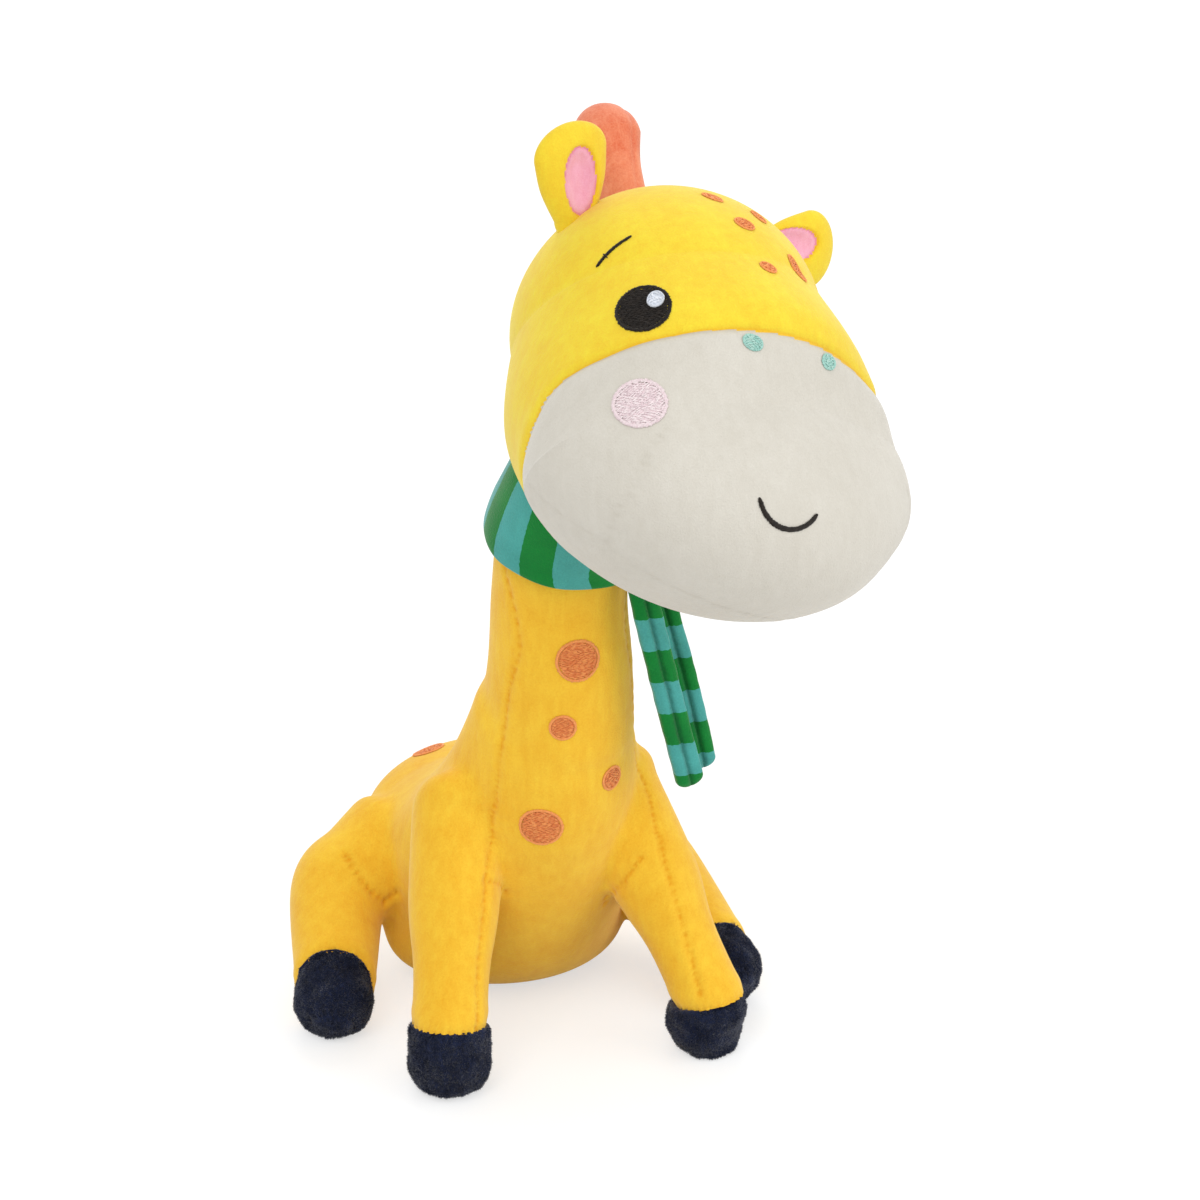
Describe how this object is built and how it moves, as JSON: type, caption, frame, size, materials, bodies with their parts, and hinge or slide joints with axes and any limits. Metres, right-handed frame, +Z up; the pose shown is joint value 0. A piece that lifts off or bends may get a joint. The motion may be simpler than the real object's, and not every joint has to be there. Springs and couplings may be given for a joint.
{
  "type": "plush giraffe",
  "caption": "Sitting stuffed giraffe with a large tilted head, navy hooves, embroidered face and spots, and a striped scarf.",
  "frame": {"origin": "on the floor, under the middle of the toy's box", "axes": "+Z up, -Y the way the trunk faces, +X to the giraffe's left"},
  "size_m": [0.154, 0.2338, 0.2911],
  "materials": {
    "yellow_plush": "short warm yellow pile",
    "cream_plush": "short cream pile",
    "navy_plush": "longer dark navy fleece",
    "orange_plush": "short orange pile",
    "pink_cloth": "smooth pink cloth",
    "scarf_cloth": "green and teal striped cloth",
    "orange_thread": "embroidery thread",
    "teal_thread": "embroidery thread",
    "black_thread": "glossy embroidery thread",
    "white_thread": "embroidery thread",
    "blush_thread": "embroidery thread",
    "pellet_bag_cloth": "plain lining cloth over pellets"
  },
  "bodies": {
    "trunk": {"trunk": "yellow_plush", "seat_panel": "yellow_plush", "pellet_bag": "pellet_bag_cloth", "neck": "yellow_plush", "spot_throat": "orange_thread", "spot_chest_upper": "orange_thread", "spot_chest_left": "orange_thread", "spot_chest_right": "orange_thread", "spot_rump_right": "orange_thread", "spot_rump_left": "orange_thread", "scarf_collar": "scarf_cloth"},
    "head": {"head_crown": "yellow_plush", "muzzle": "cream_plush", "eye_right": "black_thread", "eye_light_right": "white_thread", "brow_right": "black_thread", "cheek_right": "blush_thread", "nostril_right": "teal_thread", "eye_left": "black_thread", "eye_light_left": "white_thread", "brow_left": "black_thread", "cheek_left": "blush_thread", "nostril_left": "teal_thread", "mouth": "black_thread", "spot_crown_right": "orange_thread", "spot_brow_right": "orange_thread", "spot_brow_left": "orange_thread", "spot_crown_top": "orange_thread", "spot_crown_left": "orange_thread"},
    "ear_right": {"ear_right": "yellow_plush", "ear_lining_right": "pink_cloth"},
    "ear_left": {"ear_left": "yellow_plush", "ear_lining_left": "pink_cloth"},
    "tuft": {"mane_tuft": "orange_plush"},
    "foreleg_right": {"foreleg_right": "yellow_plush", "fore_hoof_right": "navy_plush", "fore_sole_right": "navy_plush"},
    "foreleg_left": {"foreleg_left": "yellow_plush", "fore_hoof_left": "navy_plush", "fore_sole_left": "navy_plush"},
    "hind_leg_right": {"hind_leg_right": "yellow_plush", "hind_hoof_right": "navy_plush", "hind_sole_right": "navy_plush"},
    "hind_leg_left": {"hind_leg_left": "yellow_plush", "hind_hoof_left": "navy_plush", "hind_sole_left": "navy_plush"},
    "tail": {"tail": "yellow_plush", "tail_tuft": "orange_plush"},
    "scarf_tail_front": {"scarf_tail_front": "scarf_cloth"},
    "scarf_tail_side": {"scarf_tail_side": "scarf_cloth"}
  },
  "joints": [
    {"name": "head_seam", "type": "hinge", "parent": "trunk", "child": "head", "pos_m": [0.00403, -0.01806, 0.18368], "axis": [0.8667, 0.265, -0.4226], "range_deg": [-8, 8], "stiffness_Nm_per_rad": 1},
    {"name": "ear_right_seam", "type": "hinge", "parent": "head", "child": "ear_right", "pos_m": [-0.00581, -0.02644, 0.26319], "axis": [0.9527, 0.2913, 0.0872], "range_deg": [-18, 18], "stiffness_Nm_per_rad": 0.02},
    {"name": "ear_left_seam", "type": "hinge", "parent": "head", "child": "ear_left", "pos_m": [0.0502, -0.01379, 0.23947], "axis": [0.0167, 0.0051, -0.9998], "range_deg": [-18, 18], "stiffness_Nm_per_rad": 0.02},
    {"name": "tuft_seam", "type": "hinge", "parent": "head", "child": "tuft", "pos_m": [0.01714, -0.00285, 0.25246], "axis": [0.8667, 0.265, -0.4226], "range_deg": [-15, 15], "stiffness_Nm_per_rad": 0.02},
    {"name": "foreleg_right_seam", "type": "hinge", "parent": "trunk", "child": "foreleg_right", "pos_m": [-0.03062, 0.00634, 0.073], "axis": [1, 0, 0], "range_deg": [-12, 12], "stiffness_Nm_per_rad": 0.8},
    {"name": "foreleg_left_seam", "type": "hinge", "parent": "trunk", "child": "foreleg_left", "pos_m": [0.01738, 0.00634, 0.073], "axis": [1, 0, 0], "range_deg": [-12, 4], "stiffness_Nm_per_rad": 0.8},
    {"name": "hind_leg_right_seam", "type": "hinge", "parent": "trunk", "child": "hind_leg_right", "pos_m": [-0.03462, 0.05634, 0.04], "axis": [1, 0, 0], "range_deg": [-12, 12], "stiffness_Nm_per_rad": 0.8},
    {"name": "hind_leg_left_seam", "type": "hinge", "parent": "trunk", "child": "hind_leg_left", "pos_m": [0.02738, 0.05634, 0.04], "axis": [1, 0, 0], "range_deg": [-8, 12], "stiffness_Nm_per_rad": 0.8},
    {"name": "tail_seam", "type": "hinge", "parent": "trunk", "child": "tail", "pos_m": [-0.00362, 0.09216, 0.046], "axis": [1, 0, 0], "range_deg": [-15, 15], "stiffness_Nm_per_rad": 0.02},
    {"name": "scarf_tail_front_seam", "type": "hinge", "parent": "trunk", "child": "scarf_tail_front", "pos_m": [0.0141, -0.0249, 0.15316], "axis": [-0.766, -0.6428, 0], "range_deg": [0, 20]},
    {"name": "scarf_tail_side_seam", "type": "hinge", "parent": "trunk", "child": "scarf_tail_side", "pos_m": [0.02169, -0.0142, 0.15519], "axis": [-0.342, -0.9397, 0], "range_deg": [0, 20]}
  ]
}
